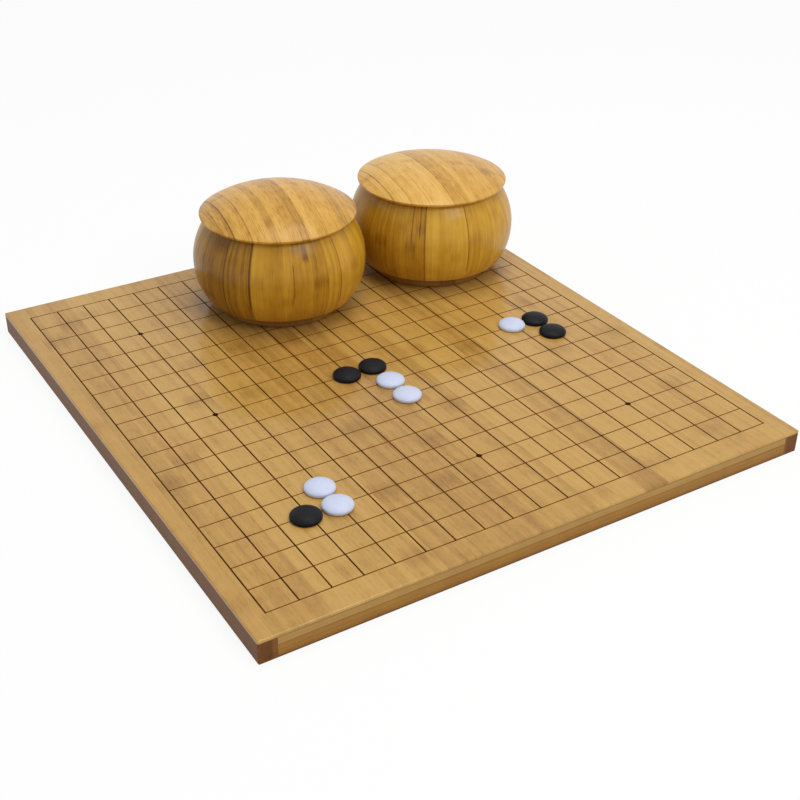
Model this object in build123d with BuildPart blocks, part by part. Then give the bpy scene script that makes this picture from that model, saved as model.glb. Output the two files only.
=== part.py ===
"""A bamboo go board with two lidded bowls and the first ten stones of a game.

Sizes are in millimetres. The origin is the middle of the board's underside, on
the table. +X runs across the board, +Y along it towards the bowls, and +Z is up.
The board and the bowls are glued up from bamboo strips, and each lid, bowl and
stone lifts straight up from what it stands on.
"""
import os
from math import cos, radians, sin

from build123d import *

os.makedirs("parts", exist_ok=True)

# Stones: flat underneath and domed on top.
stone_diameter = 22.0
stone_height = 6.0
stone_rim_height = 1.9  # the widest ring, above the flat
stone_flat_diameter = 19.2
stone_radius = stone_diameter / 2
stone_flat_radius = stone_flat_diameter / 2
stone_dome_height = stone_height - stone_rim_height
dome_fullness = 0.55  # near enough to a quarter of an ellipse

# Grid: a stone fits one space, and the spaces are longer than they are wide.
grid_lines_each_way = 19
stone_gap = 0.5
pitch_stretch = 1.4
line_pitch_x = stone_diameter + stone_gap
line_pitch_y = line_pitch_x + pitch_stretch
grid_width = (grid_lines_each_way - 1) * line_pitch_x
grid_length = (grid_lines_each_way - 1) * line_pitch_y
line_width_along = 1.1  # lines that run along the board
line_width_across = 0.9
ink_thickness = 0.05
star_diameter = 4.2
spaces_per_star_count = 6  # grid spaces from one star point to the next

# Board: a thin playing face on two core layers, between a strip along each side.
side_margin = 15.5
end_margin = 20.4
board_width = grid_width + 2 * side_margin
board_length = grid_length + 2 * end_margin
face_thickness = 2.0
upper_core_thickness = 5.5
lower_core_thickness = 10.5
edge_strip_width = 13.0
arris_radius = 1.0  # rounding along every outer edge
core_width = board_width - 2 * edge_strip_width
core_thickness = lower_core_thickness + upper_core_thickness
board_top = core_thickness + face_thickness
seat_height = board_top + ink_thickness  # what stands on the board rests on the lines

# Bowls: a ring of glued staves, turned to a belly, on a round base.
belly_radius = 71.8
belly_height = 42.0
under_radius = 62.5  # lower edge of the staves
base_radius = 51.6
base_height = 11.0
base_rounding = 1.5
wall_thickness = 8.5
floor_radius = 44.0  # where the inside starts to curve up
mouth_radius = 49.5
rim_width = 7.8
bowl_height = 79.5
mouth_land = 8.0  # straight part of the mouth, which guides the lid
stave_edge_rounding = 2.0
rim_rounding = 1.5
shoulder_radius = mouth_radius + rim_width
inside_radius = belly_radius - wall_thickness

# Lids: a dome with a plug that drops into the mouth, hollow underneath.
lid_clearance = 0.3
lid_overhang = 7.3
lid_edge_rounding = 2.6
lid_edge_height = 1.0  # upright part of the edge, above its rounding
lid_edge_draft = 0.35  # how far it leans in
left_lid_dome_height = 21.5
left_lid_crown_pull = 38.0  # radius to which the crown's level pulls the dome out
right_lid_dome_height = 15.5
right_lid_crown_pull = 41.0
plug_depth = 6.0
plug_wall = 9.2
hollow_depth = 9.0
lid_radius = shoulder_radius + lid_overhang
plug_radius = mouth_radius - lid_clearance
hollow_radius = plug_radius - plug_wall

# Stones left in the bowls: one plain filling of the size that the loose stones take up.
heap_clearance = 0.4
heap_headroom = 12.0  # free height between the stones and the lid's plug
heap_top = bowl_height - plug_depth - heap_headroom

# Places on the board: the bowls stand side by side near the back right corner.
bowl_side_inset = 5.2
bowl_back_inset = 25.2
bowl_gap = 5.4
bowl_stagger = 2.0
right_bowl_x = board_width / 2 - bowl_side_inset - belly_radius
right_bowl_y = board_length / 2 - bowl_back_inset - belly_radius
left_bowl_x = right_bowl_x - 2 * belly_radius - bowl_gap
left_bowl_y = right_bowl_y + bowl_stagger
bowl_places = {
    "left": (left_bowl_x, left_bowl_y),
    "right": (right_bowl_x, right_bowl_y),
}
bowl_contents = {"left": "black", "right": "white"}
lid_domes = {
    "left": (left_lid_dome_height, left_lid_crown_pull),
    "right": (right_lid_dome_height, right_lid_crown_pull),
}
quarter_turn = 90

# Stones on the board: row from the back, column from the left, and how far a
# hand left each one off its crossing, across and along.
played_stones = {
    "black_stone_1": (9, 16, -3.0, -1.7),
    "black_stone_2": (10, 16, -3.3, -2.5),
    "black_stone_3": (9, 8, -2.8, -1.9),
    "black_stone_4": (9, 9, -1.7, -0.5),
    "black_stone_5": (15, 3, -3.1, -2.1),
    "white_stone_1": (9, 15, -3.1, -0.5),
    "white_stone_2": (10, 9, -0.7, -2.0),
    "white_stone_3": (11, 9, -0.9, -2.5),
    "white_stone_4": (14, 4, -2.6, -2.6),
    "white_stone_5": (15, 4, -1.9, -2.1),
}


def crossing(row, column):
    """Place of a crossing, counting rows from the back and columns from the left."""
    middle = (grid_lines_each_way - 1) / 2
    return (column - middle) * line_pitch_x, (middle - row) * line_pitch_y


def upright(x, y, z):
    """Plane for a half profile that is turned about the vertical through a point."""
    return Plane(origin=(x, y, z), x_dir=(1, 0, 0), z_dir=(0, -1, 0))


def vertical(x, y):
    """Vertical axis through a point of the board."""
    return Axis((x, y, 0), (0, 0, 1))


# Playing face.
with BuildPart() as top_panel:
    with BuildSketch(Plane.XY.offset(core_thickness)):
        Rectangle(board_width, board_length)
    extrude(amount=face_thickness)
    fillet(top_panel.edges().filter_by(Axis.Z), arris_radius)
    fillet(top_panel.faces().sort_by(Axis.Z)[-1].edges(), arris_radius)
top_panel.part.label = "top_panel"
export_step(top_panel.part, "parts/top_panel.step")

# Ink of the star points and of the lines, which stop at the star points.
star_points_each_way = 3
star_pitch_x = spaces_per_star_count * line_pitch_x
star_pitch_y = spaces_per_star_count * line_pitch_y

with BuildPart() as star_points:
    with BuildSketch(Plane.XY.offset(board_top)) as star_pattern:
        with GridLocations(star_pitch_x, star_pitch_y, star_points_each_way, star_points_each_way):
            Circle(star_diameter / 2)
    extrude(amount=ink_thickness)
star_points.part.label = "star_points"
export_step(star_points.part, "parts/star_points.step")

with BuildPart() as grid_lines:
    with BuildSketch(Plane.XY.offset(board_top)):
        with GridLocations(line_pitch_x, 1, grid_lines_each_way, 1):
            Rectangle(line_width_along, grid_length + line_width_across)
        with GridLocations(1, line_pitch_y, 1, grid_lines_each_way):
            Rectangle(grid_width + line_width_along, line_width_across)
        add(star_pattern.sketch, mode=Mode.SUBTRACT)
    extrude(amount=ink_thickness)
grid_lines.part.label = "grid_lines"
export_step(grid_lines.part, "parts/grid_lines.step")

# Core layers, which show their ends at the front and the back.
with BuildPart() as upper_core:
    with BuildSketch(Plane.XY.offset(lower_core_thickness)):
        Rectangle(core_width, board_length)
    extrude(amount=upper_core_thickness)
upper_core.part.label = "upper_core"
export_step(upper_core.part, "parts/upper_core.step")

with BuildPart() as lower_core:
    with BuildSketch(Plane.XY):
        Rectangle(core_width, board_length)
    extrude(amount=lower_core_thickness)
    core_ends = lower_core.faces().sort_by(Axis.Z)[0].edges().filter_by(Axis.X)
    fillet(core_ends, arris_radius)
lower_core.part.label = "lower_core"
export_step(lower_core.part, "parts/lower_core.step")

# Strip along each side, under the playing face and beside both core layers.
for side, direction in (("left", -1), ("right", 1)):
    strip_middle = direction * (board_width - edge_strip_width) / 2
    with BuildPart() as edge_strip:
        with BuildSketch(Plane.XY.move(Location((strip_middle, 0, 0)))):
            Rectangle(edge_strip_width, board_length)
        extrude(amount=core_thickness)
        outer_face = edge_strip.faces().sort_by(Axis.X)[0 if direction < 0 else -1]
        fillet(outer_face.edges().filter_by(Axis.Z), arris_radius)
        under_face = edge_strip.faces().sort_by(Axis.Z)[0]
        inner_x = strip_middle - direction * edge_strip_width / 2
        outside = [edge for edge in under_face.edges() if abs(edge.center().X - inner_x) > 0.01]
        fillet(outside, arris_radius)
    edge_strip.part.label = f"{side}_edge_strip"
    export_step(edge_strip.part, f"parts/{side}_edge_strip.step")

# One loose stone, standing at the origin; every stone in the set is this one.
with BuildPart() as stone:
    with BuildSketch(Plane.XZ):
        with BuildLine():
            foot = Line((0, 0), (stone_flat_radius, 0))
            under_edge = Bezier(
                foot @ 1,
                (stone_radius, 0),
                (stone_radius, stone_rim_height),
            )
            dome = Bezier(
                under_edge @ 1,
                (stone_radius, stone_rim_height + dome_fullness * stone_dome_height),
                (dome_fullness * stone_radius, stone_height),
                (0, stone_height),
            )
            Line(dome @ 1, foot @ 0)
        make_face()
    revolve(axis=Axis.Z)

for name, (row, column, across, along) in played_stones.items():
    x, y = crossing(row, column)
    with BuildPart() as played_stone:
        with Locations((x + across, y + along, seat_height)):
            add(stone.part)
    played_stone.part.label = name
    export_step(played_stone.part, f"parts/{name}.step")

# Each bowl: base, staves, what it holds and its lid.
for side, (x, y) in bowl_places.items():
    section = upright(x, y, seat_height)
    turning_axis = vertical(x, y)

    with BuildPart() as bowl_base:
        with BuildSketch(Plane((x, y, seat_height))):
            Circle(base_radius)
        extrude(amount=base_height)
        fillet(bowl_base.edges().sort_by(Axis.Z)[0], base_rounding)
    bowl_base.part.label = f"{side}_bowl_base"
    export_step(bowl_base.part, f"parts/{side}_bowl_base.step")

    with BuildPart() as bowl_wall:
        with BuildSketch(section):
            with BuildLine():
                outside = Spline(
                    (under_radius, base_height),
                    (belly_radius, belly_height),
                    (shoulder_radius, bowl_height),
                    tangents=[(0.75, 1), (0, 1), (-0.8, 1)],
                )
                Line(outside @ 1, (mouth_radius, bowl_height))
                Line((mouth_radius, bowl_height), (mouth_radius, bowl_height - mouth_land))
                EllipticalCenterArc(
                    (mouth_radius, belly_height),
                    inside_radius - mouth_radius,
                    bowl_height - mouth_land - belly_height,
                    start_angle=0,
                    arc_size=quarter_turn,
                )
                EllipticalCenterArc(
                    (floor_radius, belly_height),
                    inside_radius - floor_radius,
                    belly_height - base_height,
                    start_angle=270,
                    arc_size=quarter_turn,
                )
                Line((floor_radius, base_height), outside @ 0)
            make_face()
        revolve(axis=turning_axis)
        rings = bowl_wall.edges().filter_by(GeomType.CIRCLE)
        rim_edge = rings.group_by(Axis.Z)[-1].sort_by(SortBy.LENGTH)[-1]
        fillet(rim_edge, rim_rounding)
        rings = bowl_wall.edges().filter_by(GeomType.CIRCLE)
        lower_edge = rings.group_by(Axis.Z)[0].sort_by(SortBy.LENGTH)[-1]
        fillet(lower_edge, stave_edge_rounding)
    bowl_wall.part.label = f"{side}_bowl_wall"
    export_step(bowl_wall.part, f"parts/{side}_bowl_wall.step")

    with BuildPart() as bowl_stones:
        with BuildSketch(section):
            with BuildLine():
                floor = Line((0, base_height), (floor_radius - heap_clearance, base_height))
                EllipticalCenterArc(
                    (floor_radius - heap_clearance, belly_height),
                    inside_radius - floor_radius,
                    belly_height - base_height,
                    start_angle=270,
                    arc_size=quarter_turn,
                )
                upper = EllipticalCenterArc(
                    (mouth_radius - heap_clearance, belly_height),
                    inside_radius - mouth_radius,
                    bowl_height - mouth_land - belly_height,
                    start_angle=0,
                    arc_size=quarter_turn,
                )
                Line(upper @ 1, (0, bowl_height - mouth_land))
                Line((0, bowl_height - mouth_land), floor @ 0)
            make_face()
            Rectangle(2 * belly_radius, 2 * heap_top, mode=Mode.INTERSECT)
        revolve(axis=turning_axis)
    contents = bowl_contents[side]
    bowl_stones.part.label = f"{side}_bowl_{contents}_stones"
    export_step(bowl_stones.part, f"parts/{side}_bowl_{contents}_stones.step")

    lid_dome_height, lid_crown_pull = lid_domes[side]
    with BuildPart() as lid:
        with BuildSketch(section):
            with BuildLine():
                dome = Bezier(
                    (lid_radius, bowl_height + lid_edge_rounding),
                    (lid_radius - lid_edge_draft, bowl_height + lid_edge_rounding + lid_edge_height),
                    (lid_crown_pull, bowl_height + lid_dome_height),
                    (0, bowl_height + lid_dome_height),
                )
                Line(dome @ 1, (0, bowl_height - plug_depth + hollow_depth))
                Line((0, bowl_height - plug_depth + hollow_depth),
                     (hollow_radius, bowl_height - plug_depth + hollow_depth))
                Line((hollow_radius, bowl_height - plug_depth + hollow_depth),
                     (hollow_radius, bowl_height - plug_depth))
                Line((hollow_radius, bowl_height - plug_depth),
                     (plug_radius, bowl_height - plug_depth))
                Line((plug_radius, bowl_height - plug_depth), (plug_radius, bowl_height))
                Line((plug_radius, bowl_height), (lid_radius - lid_edge_rounding, bowl_height))
                ThreePointArc(
                    (lid_radius - lid_edge_rounding, bowl_height),
                    (lid_radius - lid_edge_rounding * (1 - sin(radians(45))),
                     bowl_height + lid_edge_rounding * (1 - cos(radians(45)))),
                    (lid_radius, bowl_height + lid_edge_rounding),
                )
            make_face()
        revolve(axis=turning_axis)
    lid.part.label = f"{side}_lid"
    export_step(lid.part, f"parts/{side}_lid.step")
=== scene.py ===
"""Dresses a bamboo go board, its two lidded bowls and its stones.

Objects lie in metres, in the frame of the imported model: the origin is the
middle of the board's underside, +X runs across the board, +Y along it towards
the bowls, and +Z is up. The sizes of patterns and stones are in millimetres.
"""
import logging
import math
import random
from dataclasses import dataclass, field
from enum import Enum

import bmesh
import bpy
from mathutils import Matrix, Vector


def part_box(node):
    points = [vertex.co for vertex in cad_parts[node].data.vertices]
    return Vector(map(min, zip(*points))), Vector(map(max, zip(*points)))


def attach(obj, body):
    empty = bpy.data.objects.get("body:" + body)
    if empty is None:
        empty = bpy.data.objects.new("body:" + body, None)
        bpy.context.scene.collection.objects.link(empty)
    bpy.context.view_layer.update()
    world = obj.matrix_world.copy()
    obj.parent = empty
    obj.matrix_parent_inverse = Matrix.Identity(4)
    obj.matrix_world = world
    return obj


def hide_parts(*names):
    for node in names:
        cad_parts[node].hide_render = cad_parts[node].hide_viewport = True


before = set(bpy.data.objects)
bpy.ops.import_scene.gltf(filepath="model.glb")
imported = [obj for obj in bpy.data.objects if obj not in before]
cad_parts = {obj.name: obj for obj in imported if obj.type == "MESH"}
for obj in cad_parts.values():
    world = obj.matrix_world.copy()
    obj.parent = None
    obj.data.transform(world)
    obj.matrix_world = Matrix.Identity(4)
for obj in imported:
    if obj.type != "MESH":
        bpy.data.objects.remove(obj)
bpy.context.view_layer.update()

log = logging.getLogger("go_set")
MM = 0.001

# Patterns of the bamboo.
FIRST_STRIP = 0.37  # share of the middle strip that lies left of the middle line
STRIPS_PER_WANDER = 2.3  # over how many strips their width drifts
WANDER_REACH = 4.0  # the noise keeps near its middle, so it is stretched to the play
SLAT_PLAY_SHARE = 0.3  # the slats within a strip stray this much of its play
STRIP_STEP = 7.3  # far enough for neighbouring strips' fibres to differ
TONE_TO_NUMBER = 53.0  # makes a number for each strip out of its tone
KNOT_SHIFT = 9.0  # how many spacings apart two strips' joints can lie
BLUSH_SEED = 31.7  # keeps the tint apart from the tone
MARK_CORE = 0.25  # share of a mark's width out to which it is darkest
MARK_EDGE = 0.75  # and out to which it shows at all
DASH_RANGE = (0.5, 0.72)  # values of the noise from which dashes show
NOISE_RANGE = (0.3, 0.7)  # nearly all of the noise's values
MOTTLE_RANGE = (0.3, 0.75)  # the stones' noise, a little towards the first colour
GLOSS_PLAY_BELOW = 0.04  # how much smoother than the mean a fibre can be
GLOSS_PLAY_ABOVE = 0.05  # and how much rougher

PAST_CORE = 230.0  # from the middle of the board to past either end of its core

Socket = bpy.types.NodeSocket
Tree = bpy.types.NodeTree


class Run(Enum):
    """Which way the bamboo strips of a piece lie."""

    ALONG_BOARD = "along_board"
    ALONG_END = "along_end"
    ROUND_BOWL = "round_bowl"
    ACROSS_LID = "across_lid"
    END_GRAIN = "end_grain"


class Side(Enum):
    """The two bowls, by their place on the board."""

    LEFT = "left"
    RIGHT = "right"


class StoneColour(Enum):
    """The two colours of stone."""

    BLACK = "black"
    WHITE = "white"


def linear(hex_colour: str) -> tuple[float, float, float, float]:
    """Turns an sRGB hex colour into linear light.

    Args:
        hex_colour: Six hex digits, such as "B8925C".

    Returns:
        The colour's linear red, green and blue, with an alpha of 1.
    """
    channels = [int(hex_colour[i:i + 2], 16) / 255 for i in (0, 2, 4)]
    light = [c / 12.92 if c <= 0.04045 else ((c + 0.055) / 1.055) ** 2.4 for c in channels]
    return light[0], light[1], light[2], 1.0


def add_node(tree: Tree, kind: str, inputs: dict | None = None, **settings) -> bpy.types.Node:
    """Adds a shader node with its settings, values and links.

    Args:
        tree: The node tree that gets the node.
        kind: The node's type.
        inputs: A value or a linked output socket for each named or numbered input.
        **settings: The node's own properties, such as operation.

    Returns:
        The new node.
    """
    node = tree.nodes.new(kind)
    for name, value in settings.items():
        setattr(node, name, value)
    for name, value in (inputs or {}).items():
        if isinstance(value, Socket):
            tree.links.new(value, node.inputs[name])
        else:
            node.inputs[name].default_value = value
    return node


def calculate(tree: Tree, operation: str, *operands: Socket | float, clamp: bool = False) -> Socket:
    """Adds a math node.

    Args:
        tree: The node tree that gets the node.
        operation: The node's operation, such as "MULTIPLY".
        *operands: The values or sockets it works on, in order.
        clamp: Whether the result is kept between 0 and 1.

    Returns:
        The result's socket.
    """
    node = add_node(
        tree, "ShaderNodeMath", dict(enumerate(operands)), operation=operation, use_clamp=clamp,
    )
    return node.outputs[0]


def rescale(
    tree: Tree, value: Socket, source: tuple[float, float],
    target: tuple[float, float] = (0.0, 1.0), smooth: bool = False,
) -> Socket:
    """Adds a node that maps one range to another and stops at its ends.

    Args:
        tree: The node tree that gets the node.
        value: The socket to map.
        source: The range's ends before.
        target: The range's ends after.
        smooth: Whether it eases in and out.

    Returns:
        The result's socket.
    """
    return add_node(
        tree, "ShaderNodeMapRange",
        {"Value": value, "From Min": source[0], "From Max": source[1],
         "To Min": target[0], "To Max": target[1]},
        interpolation_type="SMOOTHSTEP" if smooth else "LINEAR",
    ).outputs[0]


def random_value(tree: Tree, number: Socket) -> Socket:
    """Adds a node that draws a value from 0 to 1 for each number.

    Args:
        tree: The node tree that gets the node.
        number: The number that the value is drawn for.

    Returns:
        The value's socket.
    """
    return add_node(
        tree, "ShaderNodeTexWhiteNoise", {"W": number}, noise_dimensions="1D",
    ).outputs["Value"]


def add_to(tree: Tree, total: Socket | float, value: Socket, weight: float) -> Socket:
    """Adds how far a value from 0 to 1 is from its middle, times a weight.

    Args:
        tree: The node tree that gets the nodes.
        total: What it is added to.
        value: The value, from 0 to 1.
        weight: How strongly it counts.

    Returns:
        The new total's socket.
    """
    centred = calculate(tree, "SUBTRACT", value, 0.5)
    return calculate(tree, "MULTIPLY_ADD", centred, weight, total)


def new_material(name: str) -> tuple[bpy.types.Material, Tree]:
    """Makes an empty node material.

    Args:
        name: The material's name.

    Returns:
        The material and its node tree.
    """
    material = bpy.data.materials.new(name)
    material.use_nodes = True
    material.node_tree.nodes.clear()
    return material, material.node_tree


def seen_ray(tree: Tree) -> Socket:
    """Finds whether a ray shows its surface: straight, by reflection or through glass.

    Args:
        tree: The node tree of a material or the world.

    Returns:
        A socket that is 1 for such a ray and 0 for one that only brings light.
    """
    path = add_node(tree, "ShaderNodeLightPath").outputs
    seen = path["Is Camera Ray"]
    for ray in ("Is Glossy Ray", "Is Transmission Ray"):
        seen = calculate(tree, "MAXIMUM", seen, path[ray])
    return seen


@dataclass(frozen=True)
class Mark:
    """A dark mark in the bamboo, such as an open glue line, a culm joint or a band of painted
    shade.

    Places are in millimetres, across and along the strips.
    """

    across: float
    low: float
    high: float
    width: float
    depth: float
    fade: float = 4.0


@dataclass(frozen=True)
class Bamboo:
    """Laminated bamboo: carbonised strips glued side by side, sanded and varnished.

    The fibres give fine streaks along each strip, the culm's joints give darker
    soft patches here and there, and every strip has its own tone. Sizes and the
    centre are in millimetres, the turn is in radians, and a contrast is a share
    of the way from the dark colour to the light one.
    """

    name: str
    run: Run
    dark: str
    middle: str
    light: str
    strip_width: float = 20.0
    width_play: float = 0.0
    layout: tuple[tuple[float, float], ...] = ()
    layout_span: float = 130.0
    marks: tuple[Mark, ...] = ()
    strip_contrast: float = 0.35
    slat_width: float = 5.0
    slat_contrast: float = 0.15
    fibre_width: float = 0.7
    fibre_length: float = 45.0
    fibre_contrast: float = 0.35
    streak_width: float = 5.0
    streak_length: float = 130.0
    streak_contrast: float = 0.0
    blush: str = ""
    blush_share: float = 0.5
    dash_width: float = 0.9
    dash_length: float = 9.0
    dash_contrast: float = 0.0
    knot_spacing: float = 230.0
    knot_length: float = 14.0
    knot_contrast: float = 0.3
    blotches_per_mm: float = 0.09
    blotch_contrast: float = 0.25
    roughness: float = 0.38
    specular: float = 0.3
    coat: float = 0.0
    coat_roughness: float = 0.1
    relief: float = 0.02
    centre: tuple[float, float] = (0.0, 0.0)
    turn: float = 0.0
    radius: float = 71.8
    seed: float = 0.0

    def coordinates(self, tree: Tree) -> tuple[Socket, Socket, Socket]:
        """Finds where a point lies across, along and through the strips.

        Args:
            tree: The material's node tree.

        Returns:
            Sockets of the distances across, along and through, in millimetres.
        """
        place = add_node(tree, "ShaderNodeTexCoord").outputs["Object"]
        local = add_node(
            tree, "ShaderNodeMapping",
            {"Vector": place, "Scale": (1 / MM,) * 3,
             "Location": (-self.centre[0], -self.centre[1], 0.0)},
        ).outputs[0]
        turned = add_node(
            tree, "ShaderNodeVectorRotate", {"Vector": local, "Angle": self.turn},
            rotation_type="Z_AXIS",
        ).outputs[0]
        x, y, z = add_node(tree, "ShaderNodeSeparateXYZ", {0: turned}).outputs
        if self.run is Run.ROUND_BOWL:
            angle = calculate(tree, "ARCTAN2", y, x)
            return calculate(tree, "MULTIPLY", angle, self.radius), z, x
        if self.run is Run.END_GRAIN:
            return x, z, y
        if self.run is Run.ALONG_END:
            return z, x, y
        return x, y, z

    def strips(self, tree: Tree, across: Socket, width: float, play: float) -> Socket:
        """Numbers the strips, of uneven width where there is play.

        Args:
            tree: The material's node tree.
            across: Distance across the strips, in millimetres.
            width: The strips' mean width in millimetres.
            play: How far a glue line strays from its even place, in millimetres.

        Returns:
            The socket of the strip's number.
        """
        shifted = across
        if play:
            slow = calculate(
                tree, "MULTIPLY_ADD", across, 1 / (STRIPS_PER_WANDER * width), self.seed,
            )
            wander = add_node(
                tree, "ShaderNodeTexNoise", {"W": slow, "Scale": 1.0, "Detail": 0.0},
                noise_dimensions="1D",
            ).outputs[0]
            shifted = calculate(tree, "MULTIPLY_ADD", wander, WANDER_REACH * play, across)
        scaled = calculate(tree, "MULTIPLY_ADD", shifted, 1 / width, FIRST_STRIP + self.seed)
        return calculate(tree, "FLOOR", scaled)

    def laid_strips(self, tree: Tree, across: Socket) -> tuple[Socket, Socket]:
        """Finds the tone of each strip where the layout says where it starts.

        Args:
            tree: The material's node tree.
            across: Distance across the strips, in millimetres.

        Returns:
            Sockets of the strip's tone and of a number that differs between strips.
        """
        place = calculate(tree, "MULTIPLY_ADD", across, 1 / self.layout_span, 0.5)
        ramp = add_node(tree, "ShaderNodeValToRGB", {0: place})
        stops = ramp.color_ramp
        stops.interpolation = "CONSTANT"
        stops.elements.remove(stops.elements[-1])
        for index, (start, tone) in enumerate(self.layout):
            position = min(max(start / self.layout_span + 0.5, 0.0), 1.0)
            if index:
                stops.elements.new(position)
            stops.elements[index].position = position
            stops.elements[index].color = (tone, tone, tone, 1.0)
        return ramp.outputs[0], calculate(tree, "MULTIPLY", ramp.outputs[0], TONE_TO_NUMBER)

    def stretched(self, tree: Tree, across: Socket, along: Socket, number: Socket) -> Socket:
        """Makes coordinates in which a fibre is one unit wide and one unit long.

        Args:
            tree: The material's node tree.
            across: Distance across the strips, in millimetres.
            along: Distance along the strips, in millimetres.
            number: The strip's number, which sets its fibres apart.

        Returns:
            The coordinates' socket.
        """
        return add_node(
            tree, "ShaderNodeCombineXYZ",
            {"X": calculate(tree, "MULTIPLY", across, 1 / self.fibre_width),
             "Y": calculate(tree, "MULTIPLY", along, 1 / self.fibre_length),
             "Z": calculate(tree, "MULTIPLY", number, STRIP_STEP)},
        ).outputs[0]

    def coarser(
        self, tree: Tree, fibres: Socket, width: float, length: float, detail: float,
    ) -> Socket:
        """Draws noise of the fibres' kind at another size.

        Args:
            tree: The material's node tree.
            fibres: The fibres' coordinates.
            width: How wide one feature is, in millimetres.
            length: How long one feature is, in millimetres.
            detail: The noise's detail.

        Returns:
            The noise's socket.
        """
        resized = add_node(
            tree, "ShaderNodeVectorMath",
            {0: fibres, 1: (self.fibre_width / width, self.fibre_length / length, 1.0)},
            operation="MULTIPLY",
        ).outputs[0]
        return add_node(
            tree, "ShaderNodeTexNoise", {"Vector": resized, "Scale": 1.0, "Detail": detail},
        ).outputs[0]

    def knots(self, tree: Tree, along: Socket, strip_random: Socket) -> Socket:
        """Finds the culm's joints, which come at even steps along each strip.

        Args:
            tree: The material's node tree.
            along: Distance along the strips, in millimetres.
            strip_random: The strip's random value, which shifts its joints.

        Returns:
            A socket that is 1 at a joint and 0 away from it.
        """
        steps = calculate(tree, "MULTIPLY", along, 1 / self.knot_spacing)
        offset = calculate(tree, "MULTIPLY_ADD", strip_random, KNOT_SHIFT, steps)
        away = calculate(tree, "PINGPONG", offset, 0.5)
        return rescale(
            tree, away, (0.0, self.knot_length / self.knot_spacing), (1.0, 0.0), smooth=True,
        )

    def marked(self, tree: Tree, tone: Socket, across: Socket, along: Socket) -> Socket:
        """Draws the marks over the tone.

        Args:
            tree: The material's node tree.
            tone: The tone so far.
            across: Distance across the strips, in millimetres.
            along: Distance along the strips, in millimetres.

        Returns:
            The socket of the marked tone.
        """
        for mark in self.marks:
            offset = calculate(tree, "SUBTRACT", across, mark.across)
            aside = calculate(tree, "ABSOLUTE", offset)
            amount = rescale(
                tree, aside, (mark.width * MARK_CORE, mark.width * MARK_EDGE),
                (mark.depth, 0.0), smooth=True,
            )
            for ends in ((mark.low - mark.fade, mark.low), (mark.high + mark.fade, mark.high)):
                amount = calculate(tree, "MULTIPLY", amount, rescale(tree, along, ends))
            tone = calculate(tree, "SUBTRACT", tone, amount)
        return tone

    def tone(self, tree: Tree) -> tuple[Socket, Socket, Socket]:
        """Adds up the tones of strips, slats, fibres, joints, streaks and marks.

        Args:
            tree: The material's node tree.

        Returns:
            Sockets of the tone, from 0 for dark to 1 for light, of the fibres alone,
            and of a number that differs between strips.
        """
        across, along, through = self.coordinates(tree)
        if self.layout:
            strip_random, number = self.laid_strips(tree, across)
        else:
            number = self.strips(tree, across, self.strip_width, self.width_play)
            strip_random = random_value(tree, number)
        slat = self.strips(tree, across, self.slat_width, self.width_play * SLAT_PLAY_SHARE)
        stretched = self.stretched(tree, across, along, number)
        fibres = add_node(
            tree, "ShaderNodeTexNoise",
            {"Vector": stretched, "Scale": 1.0, "Detail": 3.0, "Roughness": 0.6},
        ).outputs[0]
        place = add_node(tree, "ShaderNodeCombineXYZ", {"X": across, "Y": along, "Z": through})
        blotch = add_node(
            tree, "ShaderNodeTexNoise",
            {"Vector": place.outputs[0], "Scale": self.blotches_per_mm, "Detail": 2.0},
        ).outputs[0]
        total = add_to(tree, 0.5, strip_random, self.strip_contrast)
        total = add_to(tree, total, random_value(tree, slat), self.slat_contrast)
        total = add_to(tree, total, fibres, 2 * self.fibre_contrast)
        total = add_to(tree, total, blotch, self.blotch_contrast)
        patchy = calculate(tree, "MULTIPLY", self.knots(tree, along, strip_random), blotch)
        total = calculate(tree, "MULTIPLY_ADD", patchy, -2 * self.knot_contrast, total)
        if self.streak_contrast:
            streaks = self.coarser(tree, stretched, self.streak_width, self.streak_length, 2.0)
            total = add_to(tree, total, streaks, 2 * self.streak_contrast)
        if self.dash_contrast:
            dashes = self.coarser(tree, stretched, self.dash_width, self.dash_length, 1.0)
            dark = rescale(tree, dashes, DASH_RANGE, (0.0, self.dash_contrast))
            total = calculate(tree, "SUBTRACT", total, dark)
        return self.marked(tree, total, across, along), fibres, number

    def blushed(self, tree: Tree, colour: Socket, number: Socket) -> Socket:
        """Tints some strips.

        Args:
            tree: The material's node tree.
            colour: The colour so far.
            number: A number that differs between strips.

        Returns:
            The socket of the tinted colour.
        """
        chance = random_value(tree, calculate(tree, "ADD", number, BLUSH_SEED))
        share = calculate(tree, "MULTIPLY", chance, self.blush_share)
        return add_node(
            tree, "ShaderNodeMix", {0: share, 6: colour, 7: linear(self.blush)},
            data_type="RGBA", blend_type="MULTIPLY",
        ).outputs[2]

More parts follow.
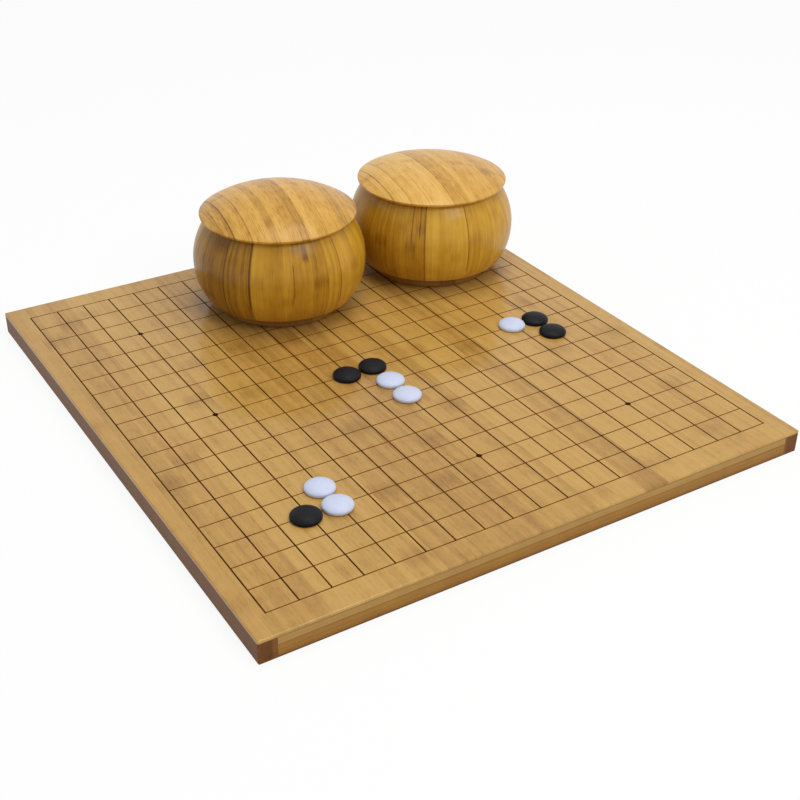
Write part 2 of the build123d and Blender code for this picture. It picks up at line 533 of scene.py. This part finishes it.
    def build(self) -> bpy.types.Material:
        """Builds the varnished material.

        Returns:
            The material.
        """
        material, tree = new_material(self.name)
        tone, fibres, number = self.tone(tree)
        ramp = add_node(tree, "ShaderNodeValToRGB", {0: tone})
        stops = ((0.0, self.dark), (0.5, self.middle), (1.0, self.light))
        ramp.color_ramp.elements.new(0.5)
        for element, (position, colour) in zip(ramp.color_ramp.elements, stops):
            element.position = position
            element.color = linear(colour)
        colour = ramp.outputs[0]
        if self.blush:
            colour = self.blushed(tree, colour, number)
        bump = add_node(
            tree, "ShaderNodeBump",
            {"Height": fibres, "Strength": 1.0, "Distance": self.relief * MM},
        )
        gloss = rescale(
            tree, fibres, NOISE_RANGE,
            (self.roughness - GLOSS_PLAY_BELOW, self.roughness + GLOSS_PLAY_ABOVE),
        )
        shader = add_node(
            tree, "ShaderNodeBsdfPrincipled",
            {"Base Color": colour, "Roughness": gloss,
             "Specular IOR Level": self.specular, "Normal": bump.outputs[0],
             "Coat Weight": self.coat, "Coat Roughness": self.coat_roughness},
        )
        add_node(tree, "ShaderNodeOutputMaterial", {"Surface": shader.outputs[0]})
        return material


@dataclass(frozen=True)
class Ink:
    """Dark brown ink, screen printed on the varnish: thin and a little uneven.

    Lines that run across the board took less ink than those along it, which lie
    one grid space apart. Sizes are in millimetres.
    """

    name: str
    colour: str
    worn: str
    pitch: float = 22.5
    line_width: float = 1.1
    wear_along: float = 0.25
    wear_across: float = 0.75
    grain: float = 14.0
    unevenness: float = 0.25
    roughness: float = 0.6
    specular: float = 0.05

    def build(self) -> bpy.types.Material:
        """Builds the ink, which lets some of the bamboo's tone through where it is thin.

        Returns:
            The material.
        """
        material, tree = new_material(self.name)
        place = add_node(tree, "ShaderNodeTexCoord").outputs["Object"]
        noise = add_node(
            tree, "ShaderNodeTexNoise",
            {"Vector": place, "Scale": 1 / (self.grain * MM), "Detail": 3.0},
        ).outputs[0]
        across = add_node(tree, "ShaderNodeSeparateXYZ", {0: place}).outputs[0]
        aside = calculate(tree, "PINGPONG", across, self.pitch * MM / 2)
        wear = rescale(
            tree, aside, (self.line_width * MM / 2, self.line_width * MM),
            (self.wear_along, self.wear_across),
        )
        uneven = rescale(tree, noise, NOISE_RANGE, (-self.unevenness, self.unevenness))
        amount = calculate(tree, "ADD", wear, uneven, clamp=True)
        colour = add_node(
            tree, "ShaderNodeMix",
            {0: amount, 6: linear(self.colour), 7: linear(self.worn)}, data_type="RGBA",
        ).outputs[2]
        shader = add_node(
            tree, "ShaderNodeBsdfPrincipled",
            {"Base Color": colour, "Roughness": self.roughness,
             "Specular IOR Level": self.specular},
        )
        add_node(tree, "ShaderNodeOutputMaterial", {"Surface": shader.outputs[0]})
        return material


@dataclass(frozen=True)
class Stone:
    """A pressed and fired go stone, tumbled to a fine satin skin.

    The mottling, the grit and the relief are in millimetres.
    """

    name: str
    colour: str
    shade: str
    roughness: float
    specular: float = 0.3
    mottle: float = 4.0
    grit: float = 0.4
    relief: float = 0.01

    def build(self) -> bpy.types.Material:
        """Builds the stone, with soft mottling and a fine grit in its skin.

        Returns:
            The material.
        """
        material, tree = new_material(self.name)
        place = add_node(tree, "ShaderNodeTexCoord").outputs["Object"]
        mottle = add_node(
            tree, "ShaderNodeTexNoise",
            {"Vector": place, "Scale": 1 / (self.mottle * MM), "Detail": 4.0},
        ).outputs[0]
        grit = add_node(
            tree, "ShaderNodeTexNoise",
            {"Vector": place, "Scale": 1 / (self.grit * MM), "Detail": 1.0},
        ).outputs[0]
        amount = rescale(tree, mottle, MOTTLE_RANGE)
        colour = add_node(
            tree, "ShaderNodeMix",
            {0: amount, 6: linear(self.colour), 7: linear(self.shade)}, data_type="RGBA",
        ).outputs[2]
        bump = add_node(tree, "ShaderNodeBump",
                        {"Height": grit, "Strength": 1.0, "Distance": self.relief * MM})
        shader = add_node(
            tree, "ShaderNodeBsdfPrincipled",
            {"Base Color": colour, "Roughness": self.roughness, "Normal": bump.outputs[0],
             "Specular IOR Level": self.specular},
        )
        add_node(tree, "ShaderNodeOutputMaterial", {"Surface": shader.outputs[0]})
        return material


def dress(node: str, material: bpy.types.Material) -> None:
    """Gives a CAD node its finish.

    Args:
        node: The node's name.
        material: The finish for all its material slots.
    """
    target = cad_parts[node]
    if not target.material_slots:
        target.data.materials.append(material)
    for slot in target.material_slots:
        slot.material = material
    log.info("dressed %s in %s", node, material.name)


@dataclass
class Board:
    """The glued board with its printed grid."""

    # Carbonised bamboo under clear varnish: honey planks that differ a little in
    # tone, long brown streaks, and a soft reflection of what stands on them.
    face: Bamboo = field(default_factory=lambda: Bamboo(
        "carbonised_bamboo_face", Run.ALONG_BOARD, "82591C", "BC934A", "D1AB60",
        strip_width=20.0, strip_contrast=0.22, slat_contrast=0.06, fibre_contrast=0.16,
        streak_contrast=0.26, blush="E6CFD0", blush_share=0.3,
        dash_contrast=0.09, dash_width=1.4, dash_length=5.0,
        knot_contrast=0.16, knot_length=16.0, roughness=0.4, specular=0.1,
        coat=0.55, coat_roughness=0.14,
    ))
    # Pressed bamboo strips, sawn along: a pale, finely lined band below the face.
    upper: Bamboo = field(default_factory=lambda: Bamboo(
        "bamboo_upper_layer", Run.ALONG_END, "82602E", "A88244", "C49C5E",
        strip_width=5.5, strip_contrast=0.1, slat_width=1.4, fibre_width=0.4,
        fibre_length=40.0, fibre_contrast=0.3, roughness=0.45, specular=0.15,
        knot_contrast=0.0, marks=(Mark(15.9, -PAST_CORE, PAST_CORE, 1.0, 0.4),),
    ))
    # Pressed bamboo strips of the browner sort: a wider band, with painted shade along its foot
    # where it meets the table.
    lower: Bamboo = field(default_factory=lambda: Bamboo(
        "bamboo_lower_layer", Run.ALONG_END, "6E4718", "9A6E30", "B8883F",
        strip_width=10.5, strip_contrast=0.1, slat_width=2.6, slat_contrast=0.3,
        fibre_width=0.5, fibre_length=50.0, fibre_contrast=0.35, roughness=0.45,
        specular=0.12, knot_contrast=0.0, seed=3.1,
        marks=(
            Mark(10.4, -PAST_CORE, PAST_CORE, 0.8, 0.2),
            # Painted shade: a dark band along the foot of the side faces, standing for the contact
            # shadow at the board's lower edge.
            Mark(0.0, -PAST_CORE, PAST_CORE, 3.0, 0.8),
        ),
    ))
    # Deeply carbonised bamboo, cut across at the corners: brown with short specks.
    edge: Bamboo = field(default_factory=lambda: Bamboo(
        "dark_bamboo_edge_strip", Run.END_GRAIN, "50300F", "7A4E24", "9A7244",
        strip_width=13.0, slat_width=4.0, fibre_width=0.6, fibre_length=1.2,
        fibre_contrast=0.4, roughness=0.42, specular=0.08, knot_contrast=0.0, seed=1.7,
    ))
    # Brown printed ink: thin lines that fade to the bamboo's tone where worn.
    line_ink: Ink = Ink("brown_screen_ink", "2A1201", "7A4A14")
    # The same ink laid thick: small, nearly black dots.
    star_ink: Ink = Ink("dark_screen_ink", "140502", "2A1006")

    def dress(self) -> None:
        """Gives each layer of the board its finish."""
        dress("top_panel", self.face.build())
        dress("upper_core", self.upper.build())
        dress("lower_core", self.lower.build())
        strip = self.edge.build()
        dress("left_edge_strip", strip)
        dress("right_edge_strip", strip)
        dress("grid_lines", self.line_ink.build())
        dress("star_points", self.star_ink.build())


@dataclass
class LooseStones:
    """The stones in a bowl, tumbled in flat-lying layers with a rough top.

    Sizes are in millimetres, the tilt in radians.
    """

    side: Side
    colour: StoneColour
    diameter: float = 22.0
    height: float = 6.0
    rim_height: float = 1.9
    flat_radius: float = 9.6
    under_inset: float = 0.25
    under_share: float = 0.45
    layer_pitch: float = 7.0
    clearance: float = 1.0
    side_gap: float = 0.3
    smallest_ring: float = 0.58  # as a share of a stone's diameter
    widening: float = 54.0  # how fast the bowl's inside widens from its floor
    floor_inset: float = 19.0
    wall_clearance: float = 1.0
    largest_tilt: float = 0.2
    largest_lift: float = 0.8
    segments: int = 28
    dome_rings: int = 7

    def profile(self) -> list[tuple[float, float]]:
        """Lists the stone's half section from the flat's rim to the crown.

        Returns:
            Each point's radius and height, in millimetres.
        """
        radius = self.diameter / 2
        under = (radius - self.under_inset, self.rim_height * self.under_share)
        points = [(self.flat_radius, 0.0), under]
        for step in range(self.dome_rings):
            turn = math.pi / 2 * step / self.dome_rings
            rise = (self.height - self.rim_height) * math.sin(turn)
            points.append((radius * math.cos(turn), self.rim_height + rise))
        return points

    def add_stone(self, mesh: bmesh.types.BMesh, place: Matrix) -> None:
        """Adds one stone to the heap's mesh.

        Args:
            mesh: The heap's mesh.
            place: Where the stone lies, in metres.
        """
        rings = []
        for radius, height in self.profile():
            ring = []
            for step in range(self.segments):
                turn = math.tau * step / self.segments
                point = Vector((radius * math.cos(turn), radius * math.sin(turn), height)) * MM
                ring.append(mesh.verts.new(place @ point))
            rings.append(ring)
        for low, high in zip(rings, rings[1:]):
            for step in range(self.segments):
                after = (step + 1) % self.segments
                mesh.faces.new((low[step], low[after], high[after], high[step]))
        mesh.faces.new(list(reversed(rings[0])))
        crown = mesh.verts.new(place @ Vector((0, 0, self.height * MM)))
        top = rings[-1]
        for step in range(self.segments):
            mesh.faces.new((top[step], top[(step + 1) % self.segments], crown))

    def places(self) -> list[Matrix]:
        """Works out where each loose stone lies inside the bowl.

        Returns:
            One placement for each stone, in metres.
        """
        low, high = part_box(f"{self.side.value}_bowl_{self.colour.value}_stones")
        middle = (low + high) / 2
        belly = (high.x - low.x) / 2 / MM
        floor_radius = belly - self.floor_inset
        draw = random.Random(self.side.value)
        layers = int(((high.z - low.z) / MM - self.height) / self.layer_pitch) + 1
        found = []
        for layer in range(layers):
            height = layer * self.layer_pitch
            flare = math.sqrt(height * self.widening)
            reach = min(floor_radius + flare, belly - self.wall_clearance)
            ring = reach - self.diameter / 2 - self.clearance
            phase = draw.uniform(0, math.tau)
            while ring > self.diameter * self.smallest_ring:
                count = int(math.pi / math.asin((self.diameter / 2 + self.side_gap) / ring))
                for step in range(count):
                    turn = phase + math.tau * step / count
                    found.append((ring * math.cos(turn), ring * math.sin(turn), height))
                ring -= self.diameter + self.clearance
            if ring > 0:
                found.append((0.0, 0.0, height))
        matrices = []
        for x, y, height in found:
            tilt = Matrix.Rotation(draw.uniform(0, self.largest_tilt), 4,
                                   Vector((draw.uniform(-1, 1), draw.uniform(-1, 1), 0.01)))
            lift = draw.uniform(0, self.largest_lift)
            spot = Vector((middle.x + x * MM, middle.y + y * MM, low.z + (height + lift) * MM))
            matrices.append(Matrix.Translation(spot) @ tilt)
        return matrices

    def build(self, material: bpy.types.Material) -> bpy.types.Object:
        """Builds the heap as one piece that rides in its bowl.

        Args:
            material: The stones' finish.

        Returns:
            The heap's object.
        """
        mesh = bmesh.new()
        for place in self.places():
            self.add_stone(mesh, place)
        for face in mesh.faces:
            face.smooth = len(face.verts) < 5
        data = bpy.data.meshes.new(f"{self.side.value}_loose_stones")
        mesh.to_mesh(data)
        mesh.free()
        heap = bpy.data.objects.new(f"{self.side.value}_loose_stones", data)
        bpy.context.scene.collection.objects.link(heap)
        data.materials.append(material)
        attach(heap, f"{self.side.value}_bowl")
        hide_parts(f"{self.side.value}_bowl_{self.colour.value}_stones")
        log.info("built %s", heap.name)
        return heap


@dataclass
class Bowl:
    """A coopered bamboo bowl with its base and lid.

    The layouts follow the photographed staves and strips; those that face away
    from the camera are made up. A stave starts so many degrees round from the
    side that faces the camera, and a lid's strip so many millimetres from its
    middle line.
    """

    side: Side
    front: float
    staves: tuple[tuple[float, float], ...]
    marks: tuple[Mark, ...]
    lid_strips: tuple[tuple[float, float], ...]
    lid_marks: tuple[Mark, ...]
    belly_radius: float = 71.8
    lid_width: float = 132.0
    lid_turn: float = 7.0

    def centre(self) -> tuple[float, float]:
        """Finds the bowl's upright axis.

        Returns:
            The axis's place across and along the board, in millimetres.
        """
        low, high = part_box(f"{self.side.value}_bowl_wall")
        return (low.x + high.x) / 2 / MM, (low.y + high.y) / 2 / MM

    def dress(self) -> None:
        """Gives the staves, the base and the lid their lacquered finishes."""
        centre = self.centre()
        side = self.side.value
        arc = math.radians(1) * self.belly_radius
        # Lacquered bamboo staves: upright golden bands, fine fibres, a low sheen.
        staves = Bamboo(
            f"lacquered_bamboo_staves_{side}", Run.ROUND_BOWL, "6A4006", "BC8A22", "E2B644",
            layout=tuple((start * arc, tone) for start, tone in self.staves),
            layout_span=360 * arc, marks=self.marks, strip_contrast=0.75,
            slat_width=2.6, width_play=2.5, slat_contrast=0.13, fibre_width=0.5,
            fibre_length=35.0, fibre_contrast=0.22, streak_contrast=0.14,
            dash_contrast=0.1, dash_length=14.0, knot_spacing=160.0, knot_length=8.0,
            knot_contrast=0.12, roughness=0.38, specular=0.15, coat=0.22,
            coat_roughness=0.16, centre=centre, turn=-math.radians(self.front),
        )
        # Lacquered bamboo, turned: a plain darker ring under the staves.
        base = Bamboo(
            f"lacquered_bamboo_base_{side}", Run.ALONG_BOARD, "6E4814", "9A6C2A", "B4863A",
            strip_width=14.0, roughness=0.4, coat=0.3, coat_roughness=0.2,
        )
        # Lacquered bamboo strips, turned to a dome: slanting bands with short dashes.
        lid = Bamboo(
            f"lacquered_bamboo_lid_{side}", Run.ACROSS_LID, "744610", "CC9A42", "EABF6C",
            layout=self.lid_strips, layout_span=self.lid_width, marks=self.lid_marks,
            strip_contrast=0.7, slat_width=3.4, width_play=2.0, slat_contrast=0.16,
            fibre_width=0.6, fibre_length=30.0, fibre_contrast=0.32, dash_contrast=0.2,
            dash_width=0.8, dash_length=8.0, knot_spacing=170.0, knot_length=8.0,
            knot_contrast=0.14, roughness=0.38, specular=0.15, coat=0.22, coat_roughness=0.18,
            centre=centre, turn=math.radians(self.lid_turn),
        )
        dress(f"{side}_bowl_wall", staves.build())
        dress(f"{side}_bowl_base", base.build())
        dress(f"{side}_lid", lid.build())


def left_bowl() -> Bowl:
    """Describes the left bowl, with its open glue line and a dark left side that is partly painted
    shade.
    """
    return Bowl(
        Side.LEFT,
        front=-116.2,
        staves=(
            (-180, 0.5), (-168, 0.62), (-155, 0.42), (-143, 0.6), (-128, 0.5), (-117, 0.36),
            # From -80 to -32 degrees: darker staves, painted darker still as the shade on the
            # bowl's left side.
            (-104, 0.6), (-92, 0.4), (-80, 0.22), (-66, 0.08), (-52, 0.16), (-40, 0.12),
            (-32, 0.24), (-20.8, 0.62), (-12, 0.54), (-6.7, 0.46), (0, 0.52), (8.3, 0.38),
            (14, 0.48), (20, 0.4), (31, 0.56), (42.5, 0.68), (53, 0.62), (62, 0.68),
            (75, 0.52), (88, 0.64), (101, 0.5), (113, 0.6), (126, 0.44), (139, 0.62),
            (152, 0.5), (166, 0.64),
        ),
        marks=(
            Mark(-26.1, 55.0, 95.0, 1.3, 0.75, fade=12.0), Mark(10.4, 56.0, 80.0, 1.0, 0.35),
            Mark(21.9, 84.5, 93.0, 5.5, 0.3), Mark(53.3, 30.0, 92.0, 0.9, 0.3),
            Mark(-50.0, 30.0, 96.0, 0.9, 0.25),
        ),
        lid_strips=(
            (-66, 0.4), (-51, 0.54), (-40, 0.6), (-26, 0.36), (-20, 0.62), (-12, 0.52),
            (-4, 0.3), (3, 0.62), (14, 0.44), (20, 0.54), (33, 0.4), (46, 0.42), (56, 0.32),
        ),
        lid_marks=(Mark(-51.0, -60.0, 60.0, 0.9, 0.3), Mark(-39.5, -60.0, 60.0, 0.9, 0.3)),
    )


def right_bowl() -> Bowl:
    """Describes the right bowl, with its light stave between darker ones."""
    return Bowl(
        Side.RIGHT,
        front=-123.5,
        staves=(
            (-180, 0.55), (-169, 0.45), (-156, 0.6), (-142, 0.5), (-131, 0.38), (-118, 0.58),
            (-107, 0.5), (-95, 0.6), (-82, 0.5), (-70, 0.42), (-53, 0.48), (-42, 0.4),
            (-32, 0.42), (-24, 0.5), (-17, 0.4), (-10, 0.5), (-3.6, 0.86), (5.8, 0.68),
            (13, 0.74), (20, 0.8), (27.5, 0.62), (38, 0.68), (47, 0.72), (58, 0.6),
            (70, 0.64), (84, 0.5), (97, 0.6), (110, 0.44), (123, 0.6), (136, 0.5),
            (150, 0.62), (165, 0.48),
        ),
        marks=(
            Mark(34.5, 40.0, 94.0, 1.1, 0.5), Mark(-4.5, 30.0, 96.0, 0.9, 0.3),
            Mark(-16.0, 70.0, 96.0, 1.2, 0.25), Mark(-9.0, 74.0, 96.0, 1.4, 0.25),
        ),
        lid_strips=(
            (-66, 0.66), (-53, 0.82), (-42, 0.76), (-34, 0.86), (-29, 0.78), (-22, 0.88),
            (-10, 0.52), (4, 0.62), (14, 0.56), (25, 0.6), (34, 0.46), (46, 0.52),
            (56, 0.52),
        ),
        lid_marks=(
            Mark(-53.0, -60.0, 60.0, 0.9, 0.3), Mark(-42.0, -60.0, 60.0, 0.8, 0.25),
            Mark(-29.0, -60.0, 60.0, 0.8, 0.25), Mark(-10.0, -60.0, 60.0, 0.9, 0.3),
        ),
    )


@dataclass
class Stones:
    """The stones on the board and in the bowls."""

    each_colour: int = 5
    # Fired stone, tumbled: near black, with a faint satin highlight on its dome.
    black: Stone = Stone("fired_black_stone", "0A0A10", "12121B", roughness=0.5, specular=0.14)
    # Fired stone, tumbled: a cool white that shades softly to its rim.
    white: Stone = Stone("fired_white_stone", "CCD4EA", "C4CCE6", roughness=0.45)

    def build(self) -> None:
        """Dresses the played stones and builds the loose ones."""
        finishes = {
            StoneColour.BLACK: self.black.build(),
            StoneColour.WHITE: self.white.build(),
        }
        for colour, finish in finishes.items():
            for number in range(1, self.each_colour + 1):
                dress(f"{colour.value}_stone_{number}", finish)
        LooseStones(Side.LEFT, StoneColour.BLACK).build(finishes[StoneColour.BLACK])
        LooseStones(Side.RIGHT, StoneColour.WHITE).build(finishes[StoneColour.WHITE])


@dataclass(frozen=True)
class Softbox:
    """A square softbox: where it stands and its side, in metres, its watts and its colour."""

    name: str
    place: tuple[float, float, float]
    side: float
    power: float
    colour: str

    def build(self) -> None:
        """Adds the lamp, which faces the middle of the board."""
        data = bpy.data.lights.new(self.name, "AREA")
        data.shape = "SQUARE"
        data.size = self.side
        data.energy = self.power
        data.color = linear(self.colour)[:3]
        lamp = bpy.data.objects.new(self.name, data)
        bpy.context.scene.collection.objects.link(lamp)
        lamp.location = self.place
        lamp.rotation_euler = (-Vector(self.place)).to_track_quat("-Z", "Y").to_euler()


@dataclass
class Studio:
    """A white table under soft light, and the photograph's camera.

    The aim and the distance are in millimetres, the angles in degrees.
    """

    aim: tuple[float, float, float] = (-8.2, -51.7, 18.0)
    distance: float = 967.9
    azimuth: float = 32.15
    elevation: float = 31.45
    roll: float = -0.70
    focal_length: float = 58.3
    sensor_width: float = 36.0
    nearest_seen: float = 0.01
    floor_size: float = 8.0
    floor_glow: float = 0.9
    ambient: float = 0.54
    lamps: tuple[Softbox, ...] = (
        Softbox("key", (0.26, 0.0, 1.95), 1.1, 15.5, "FFFBF4"),
        Softbox("front", (0.3, -1.4, 1.5), 0.9, 13.0, "FFFCF8"),
    )

    def add_camera(self) -> None:
        """Puts the camera where the photograph was taken from."""
        across, rise = math.radians(self.azimuth), math.radians(self.elevation)
        look = Vector((math.sin(across) * math.cos(rise), math.cos(across) * math.cos(rise),
                       -math.sin(rise)))
        data = bpy.data.cameras.new("photo_camera")
        data.sensor_fit = "HORIZONTAL"
        data.sensor_width = self.sensor_width
        data.lens = self.focal_length
        data.clip_start = self.nearest_seen
        camera = bpy.data.objects.new("photo_camera", data)
        bpy.context.scene.collection.objects.link(camera)
        right = look.cross(Vector((0, 0, 1))).normalized()
        up = right.cross(look)
        turn = Matrix.Rotation(math.radians(self.roll), 4, look)
        right, up = turn @ right, turn @ up
        place = Vector(self.aim) * MM - look * self.distance * MM
        camera.matrix_world = Matrix((
            (right.x, up.x, -look.x, place.x),
            (right.y, up.y, -look.y, place.y),
            (right.z, up.z, -look.z, place.z),
            (0, 0, 0, 1),
        ))
        bpy.context.scene.camera = camera

    def add_floor(self) -> None:
        """Lays the white table, which keeps the object's soft shadow."""
        mesh = bmesh.new()
        bmesh.ops.create_grid(mesh, x_segments=1, y_segments=1, size=self.floor_size / 2)
        data = bpy.data.meshes.new("table")
        mesh.to_mesh(data)
        mesh.free()
        table = bpy.data.objects.new("table", data)
        bpy.context.scene.collection.objects.link(table)
        # Matt white paper: an even white ground that takes a soft shadow.
        material, tree = new_material("white_table")
        paper = add_node(tree, "ShaderNodeBsdfDiffuse", {"Color": linear("F4F4F4")})
        glow = add_node(tree, "ShaderNodeEmission", {"Color": linear("FFFFFF"), "Strength": 1.0})
        share = calculate(tree, "MULTIPLY", seen_ray(tree), self.floor_glow)
        mix = add_node(
            tree, "ShaderNodeMixShader", {0: share, 1: paper.outputs[0], 2: glow.outputs[0]},
        )
        add_node(tree, "ShaderNodeOutputMaterial", {"Surface": mix.outputs[0]})
        data.materials.append(material)

    def add_world(self) -> None:
        """Lights the room evenly, and shows it white behind the object."""
        world = bpy.data.worlds.new("studio")
        bpy.context.scene.world = world
        world.use_nodes = True
        tree = world.node_tree
        tree.nodes.clear()
        room = add_node(tree, "ShaderNodeBackground",
                        {"Color": linear("F2F5FA"), "Strength": self.ambient})
        white = add_node(tree, "ShaderNodeBackground",
                         {"Color": linear("FFFFFF"), "Strength": 1.0})
        mix = add_node(tree, "ShaderNodeMixShader",
                       {0: seen_ray(tree), 1: room.outputs[0], 2: white.outputs[0]})
        add_node(tree, "ShaderNodeOutputWorld", {"Surface": mix.outputs[0]})

    def build(self) -> None:
        """Builds the camera, the table and the lights."""
        self.add_camera()
        self.add_floor()
        self.add_world()
        for lamp in self.lamps:
            lamp.build()
        bpy.context.scene.view_settings.view_transform = "Standard"


def main() -> None:
    """Builds the studio and dresses each sub-assembly."""
    logging.basicConfig(level=logging.INFO, format="%(message)s")
    Studio().build()
    Board().dress()
    left_bowl().dress()
    right_bowl().dress()
    Stones().build()


if __name__ == "__main__":
    main()
